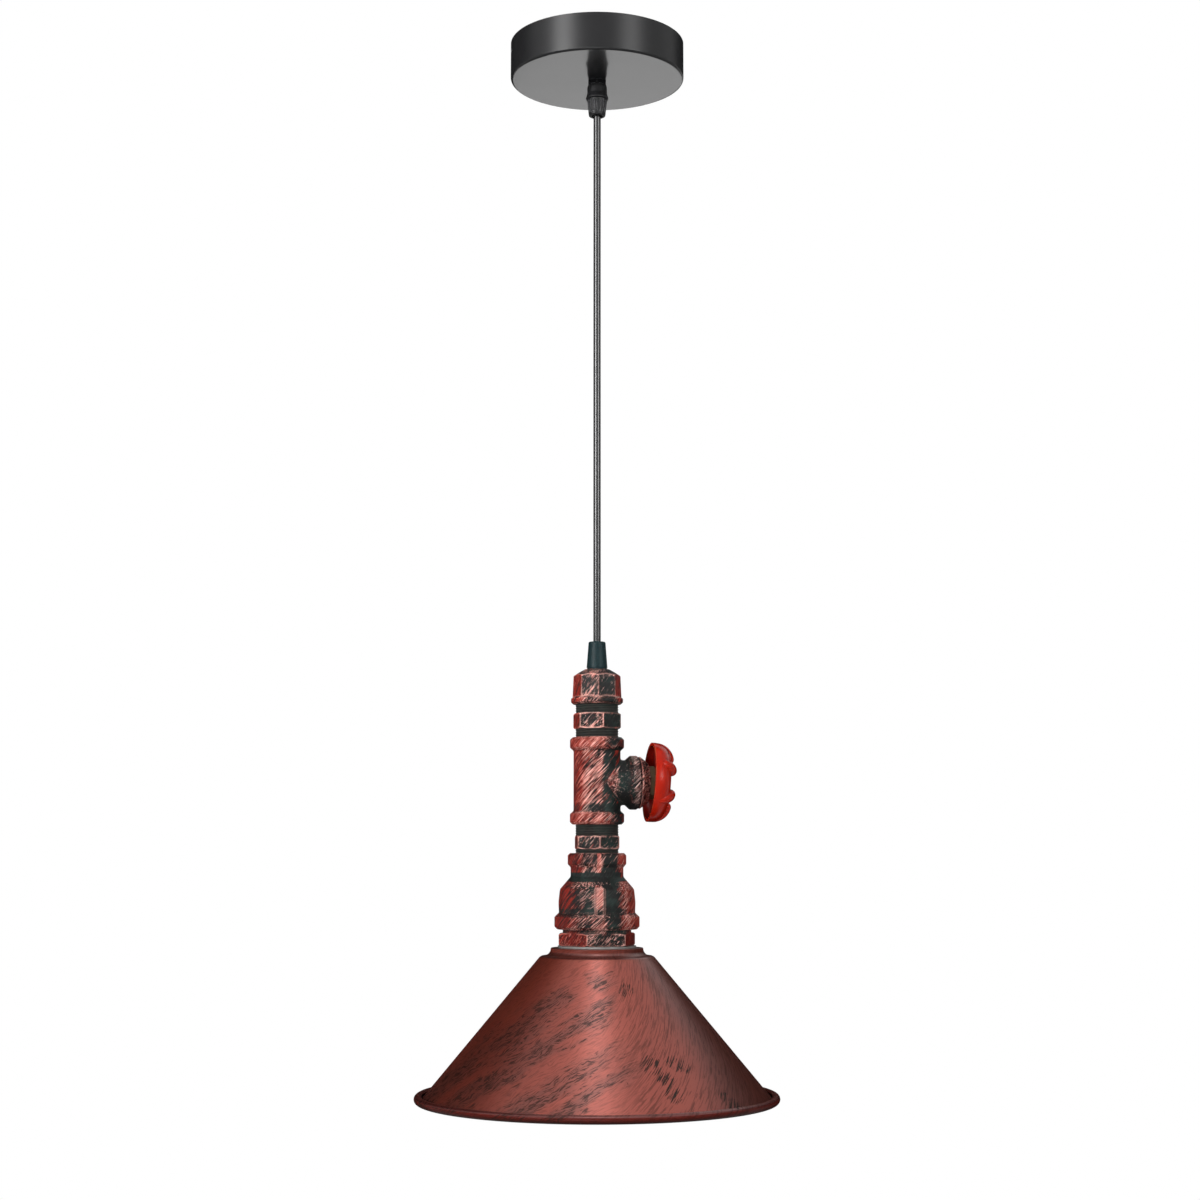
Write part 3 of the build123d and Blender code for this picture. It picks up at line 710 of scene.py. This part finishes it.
# The left brush went straight across the cone in four passes, leaving wavy hairlines.
pass_heading = radians(-34.3)
pass_lean = radians(35)
across = wide * cos(pass_heading) + deep * sin(pass_heading)
along = across * cos(pass_lean) + high * sin(pass_lean)
athwart = high * cos(pass_lean) - across * sin(pass_lean)
spot = place.node("CombineXYZ", None, {0: along, 1: athwart, 2: 0.0})
left_sway = grain(spot, 34, 3, 0.6, stretch=(0.5, 1, 1))
streaks = grain(spot, 170, 3, 0.6, stretch=(0.22, 1, 1))


def brush_pass(middle, half):
    off = abs(athwart + (left_sway - 0.5) * 0.014 - middle)
    return 1 - fade(off, 0.0, half * 2.5)


def touched(turn, drop, size):
    """A place on the cone where the brush rested, this wide: turned in degrees from the photograph's
    side, at a height."""
    reach = cone_top_reach - (drop - cone_top) * cone_flare
    around = radians(turn - 90) - photo_turn
    centre = (reach * cos(around), reach * sin(around), drop)
    near = place.node("VectorMath", {"operation": "DISTANCE"}, {0: place, 1: centre}, "Value")
    return 1 - fade(near, size * 0.4, size)


def rested(*touches):
    first, *others = [touched(*touch) for touch in touches]
    for other in others:
        first = first | other
    return first


passes = brush_pass(-0.58, 0.009) * (1 - fade(across, 0.004, 0.018))
for middle, half in ((-0.603, 0.008), (-0.634, 0.0065), (-0.651, 0.005)):
    passes = passes | brush_pass(middle, half)
passes = passes * fade(0 - high, 0.69, 0.702)
passes = passes | rested((-4, -0.6905, 0.01), (4, -0.695, 0.012), (13, -0.693, 0.012)) * 0.7
left_load = fade(passes + (streaks - 0.5) * 2.4 + (left_sway - 0.5) * 0.5, 0.1, 1.3)
wave = grain(spot, 120, 2, 0.5, stretch=(0.6, 1, 1), shift=(0.2, 0.7, 0))
bent = place.node("CombineXYZ", None, {0: along, 1: athwart + (wave - 0.5) * 0.008, 2: 0.0})
dashes = grain(bent, 760, 3, 0.6, stretch=(0.15, 1, 1))
hairs = grain(bent, 1250, 3, 0.6, stretch=(0.12, 1, 1), shift=(0.3, 0.2, 0))
dash_marks = fade(dashes + left_load * 0.08, 0.61, 0.66) * 0.75
hair_marks = fade(hairs + left_load * 0.09, 0.6, 0.65) * 0.85
left_marks = (dash_marks | hair_marks) * fade(left_load, 0.0, 0.4) | fade(hairs, 0.48, 0.6) * 0.32

# The right brush went down the cone in a slow turn, with small wet blots near the rim.
wind_rate = -11
wind = high * wind_rate
spoke = place.node("CombineXYZ", None, {0: wide / round_axis, 1: deep / round_axis, 2: high * 1.9})
spoke = place.node("VectorRotate", {"rotation_type": "Z_AXIS"}, {"Vector": spoke, "Angle": wind})
right_sway = grain(spoke, 2.6, 3, 0.6)
blots = rested(
    (22, -0.747, 0.011),
    (26, -0.755, 0.009),
    (32, -0.746, 0.009),
    (27, -0.765, 0.01),
    (36, -0.748, 0.008),
    (48, -0.773, 0.012),
    (20, -0.699, 0.008),
)
dashes = grain(spoke, 46, 3, 0.6, stretch=(1, 1, 1.1))
hairs = grain(spoke, 84, 3, 0.6, stretch=(1, 1, 0.7), shift=(0.3, 0.1, 0))
right_load = (right_sway - 0.5) * 0.6 + 0.1
hair_marks = fade(hairs + right_load * 0.3, 0.54, 0.61) * 0.42
dash_marks = fade(dashes + right_load * 0.3, 0.58, 0.65) * 0.55
blot_marks = fade(hairs + blots * 0.1, 0.58, 0.63) * fade(blots, 0.05, 0.4)
right_marks = hair_marks | dash_marks | blot_marks

# The two brushes met a little to the right of the middle of the photograph's side.
left_way = -photo_turn - radians(45)
turned = dot(normal, (sin(left_way), -cos(left_way), 0))
choice = fade(turned + (right_sway - 0.5) * 0.5, 0.3, 0.6)
marks = left_marks * choice + right_marks * (1 - choice)
# The right brush's stain, and the side right of the front darkened as painted shade.
right_side_shade = fade(dot(normal, facing_right), 0.42, 0.66)
right_stain_and_shade = (right_sway - 0.5) * 0.4 + right_side_shade * 0.5
stain_and_shade = left_load * choice * 0.48 + right_stain_and_shade * (1 - choice)

# Sprayed coat under the marks, darker at the collar as painted shade, with a rolled rim and pale paint
# inside.
mottle = grain(place, 34, 4, 0.6)
speck = grain(place, 900, 3, 0.6)
coat = mixed(mottle, tint(132, 48, 32), tint(150, 62, 43))
coat = mixed(stain_and_shade, coat, tint(64, 33, 26))
collar_shade = fade(high, -0.6795, -0.6785) * 0.7
coat = mixed(collar_shade, coat, tint(84, 42, 37))
rim = fade(round_axis, 0.1235, 0.1265)
# The rolled rim is lighter on top and dark below: painted highlight and painted shade.
roll_shade = mixed(fade(high, -0.7805, -0.7765), tint(46, 20, 17), tint(98, 32, 26))
coat = mixed(rim, coat, mixed(fade(high, -0.7756, -0.7746), roll_shade, tint(134, 62, 52)))
# Painted shade in the groove behind the rim, and wherever surfaces crowd close.
groove_shade = 1 - fade(openness(place, 0.006), 0.25, 0.7)
outside = mixed(groove_shade * 0.8, mixed(marks, coat, tint(40, 23, 17)), tint(30, 18, 17))
pale_inside = mixed(mottle, tint(226, 220, 206), tint(236, 232, 222))
sideways, endways, upward = parts_of(normal)
outward = (sideways * wide + endways * deep) / round_axis + upward
under = fade(0 - outward, 0.3, 0.6) * (1 - fade(round_axis, 0.1225, 0.1235))
lay(
    shade_red,
    {
        "Base Color": mixed(under, outside, pale_inside),
        "Roughness": 0.34 + speck * 0.06 + marks * 0.14,
        "Metallic": fade(upward, 0.3, 0.6) * 0.7,
        "Specular IOR Level": 0.06,
        "Coat Weight": fade(upward, 0.3, 0.6) * (1 - marks * 0.7),
        "Coat Roughness": 0.36,
        "Coat IOR": 1.55,
        "Normal": raised(speck * 0.4 + marks * -0.5, 0.00007),
    },
)
dress(shade_red, "shade")


# Valve on the tee's branch: an iron bonnet screwed into it and brushed like the tee, white packing,
# and a brass gland nut that presses the packing onto the plated spindle.
brushed_bonnet = dry_brushed(
    "brushed_bonnet", lean=radians(45), reach=0.017, cover=-0.01, branch_from=-1.0
)
dress(brushed_bonnet, "valve_bonnet")
dress(nylon, "gland_packing")
dull_brass, place = new_finish("dull_brass")
tarnish = grain(place, 320, 5, 0.65)
lay(
    dull_brass,
    {
        "Base Color": mixed(tarnish, tint(58, 44, 32), tint(112, 86, 54)),
        "Metallic": 0.4,
        "Roughness": 0.4 + tarnish * 0.2,
        "Normal": raised(tarnish, 0.00005),
    },
)
dress(dull_brass, "gland_nut")
dress(zinc, "spindle", "wheel_washer", "wheel_nut")


# Valve wheel: a cast iron dish with six fingers over its shoulder, dipped in gloss red and worn to the
# primer at the rim. It sits on the spindle's square, under a washer and a nut.
wheel_red, place = new_finish("gloss_red")
flow = grain(place, 90, 4, 0.6)
turn = edge_line(place, 0.0016)
lip = 1 - fade(parts_of(place)[0], 0.0395, 0.0425)
chip = fade(turn * 2.2 + (grain(place, 240, 5, 0.65) - 0.5) * 1.7, 0.62, 0.8) * lip
# Darker red in the wheel's hollows: painted shade.
recess_shade = 1 - fade(openness(place, 0.02), 0.3, 0.8)
enamel = mixed(flow, tint(156, 19, 5), tint(182, 34, 9))
lay(
    wheel_red,
    {
        "Base Color": mixed(chip, mixed(recess_shade, enamel, tint(112, 14, 10)), tint(150, 104, 66)),
        "Roughness": 0.2 + flow * 0.1 + chip * 0.3,
        "Specular IOR Level": 0.15,
        "Normal": raised(flow + grain(place, 500, 2) * 0.3, 0.0002),
    },
)
dress(wheel_red, "handwheel")


# Studio: a pale floor far below in white surroundings, soft lights, black cloths that only gloss sees,
# and the camera of the photograph.
floor_z = -2.2
floor_size = 8
floor_glow = 0.9
white = (1, 1, 1, 1)
ambient = 0.07
bpy.ops.object.select_all(action="DESELECT")
bpy.ops.mesh.primitive_plane_add(size=floor_size, location=(0, 0, floor_z))
floor = bpy.context.object
floor.name = "studio_floor"
bpy.ops.object.mode_set(mode="EDIT")
bpy.ops.mesh.subdivide(number_cuts=3)
bpy.ops.object.mode_set(mode="OBJECT")
bpy.ops.object.transform_apply(location=True)


def seen_directly(start):
    """1 where the camera, gloss or glass looks at the background, 0 where it would light the lamp."""
    looks = ("Is Camera Ray", "Is Glossy Ray", "Is Transmission Ray")
    eye, gloss, glass = start.node("LightPath", None, None, looks)
    return eye | gloss | glass


pale, place = new_finish("pale_floor")
lay(
    pale,
    {
        "Base Color": mixed(grain(place, 3, 3), tint(238, 238, 238), tint(244, 244, 244)),
        "Roughness": 0.8,
    },
)
paint = Mark(pale.node_tree, pale.node_tree.nodes["Principled BSDF"].outputs[0])
glow = place.node("Emission", None, {"Color": white, "Strength": 1.0})
shown = place.node("MixShader", None, {0: seen_directly(place) * floor_glow, 1: paint, 2: glow})
pale.node_tree.links.new(shown.socket, pale.node_tree.nodes["Material Output"].inputs["Surface"])
floor.data.materials.append(pale)

world = bpy.data.worlds.new("white_studio")
world.use_nodes = True
bpy.context.scene.world = world
backing = world.node_tree.nodes["Background"]
level = seen_directly(Mark(world.node_tree, backing.outputs[0])) * (1 - ambient) + ambient
backing.inputs["Color"].default_value = white
world.node_tree.links.new(level.socket, backing.inputs["Strength"])


def soft_box(name, heading, height, distance, width, tall, power, aim, spread=180):
    """Area light at a heading from the camera's side of the lamp, turned to a height on its axis."""
    lamp = bpy.data.lights.new(name, "AREA")
    lamp.shape = "RECTANGLE"
    lamp.size = width
    lamp.size_y = tall
    lamp.energy = power
    lamp.spread = radians(spread)
    box = bpy.data.objects.new(name, lamp)
    bpy.context.scene.collection.objects.link(box)
    around = radians(heading) - photo_turn
    box.location = (distance * sin(around), -distance * cos(around), height)
    box.rotation_mode = "QUATERNION"
    box.rotation_quaternion = (box.location - Vector((0, 0, aim))).to_track_quat("Z", "Y")
    return box


for name, heading, power in (("left_strip", -44, 6.5), ("right_strip", 44, 3.2)):
    soft_box(
        name, heading, height=0.4, distance=1.9, width=0.8, tall=1.2, power=power, aim=0.1, spread=45
    )
soft_box("front_box", -8, height=-0.75, distance=2.2, width=1.0, tall=0.8, power=21, aim=-0.65)
soft_box("top_box", 0, height=0.95, distance=0.4, width=0.3, tall=0.6, power=4, aim=-0.73)
back_box = soft_box(
    "back_box", 180, height=-0.5, distance=2.2, width=1.2, tall=1.2, power=12, aim=-0.5
)
back_box.visible_glossy = False

cloth, place = new_finish("black_cloth")
weave = mixed(grain(place, 60), tint(4, 4, 4), tint(8, 8, 8))
lay(cloth, {"Base Color": weave, "Specular IOR Level": 0.0})
facing_front = (-sin(photo_turn), -cos(photo_turn), 0)


def black_card(name, low_edge, high_edge):
    """Black cloth behind the lamp, seen only in its gloss, which keeps the edges dark. Each edge has its
    left and right end, to the right of the lamp's axis, how far behind the axis it is, and its height."""
    bpy.ops.object.select_all(action="DESELECT")
    bpy.ops.mesh.primitive_plane_add(size=1, location=(0, 0, 0))
    card = bpy.context.object
    card.name = name
    corners = [
        Vector(facing_right) * end - Vector(facing_front) * behind + Vector((0, 0, height))
        for left_end, right_end, behind, height in (low_edge, high_edge)
        for end in (left_end, right_end)
    ]
    for vertex, corner in zip(card.data.vertices, corners):
        vertex.co = corner
    card.data.materials.append(cloth)
    card.visible_camera = False
    card.visible_diffuse = False
    card.visible_shadow = False
    card.visible_transmission = False


black_card("lamp_card", (-0.7, 0.7, 0.4, -1.1), (-0.7, 0.7, 0.4, -0.42))
black_card("rose_card", (-0.7, 0.7, 0.4, 0.03), (-0.7, 0.7, 0.4, 0.9))
black_card("flex_card", (-0.7, 0.7, 2, -0.35), (-0.7, 0.7, 2, 1.2))
black_card("left_card", (-1.4, -0.07, 1.25, -0.66), (-1.4, -0.2, 0.05, 0.26))
black_card("right_card", (0.22, 1.9, 1.25, -0.66), (1.2, 1.9, 0.05, 0.26))

stand = 1.5448
lens_z = -0.6025
look_up = radians(6.69)
look_right = radians(0.08)
view = bpy.data.cameras.new("photo_camera")
view.sensor_width = 36.0
view.lens = 63.8
camera = bpy.data.objects.new("photo_camera", view)
bpy.context.scene.collection.objects.link(camera)
camera.location = (-stand * sin(photo_turn), -stand * cos(photo_turn), lens_z)
camera.rotation_euler = (radians(90) + look_up, 0, -photo_turn - look_right)
bpy.context.scene.camera = camera
bpy.context.scene.view_settings.view_transform = "Standard"
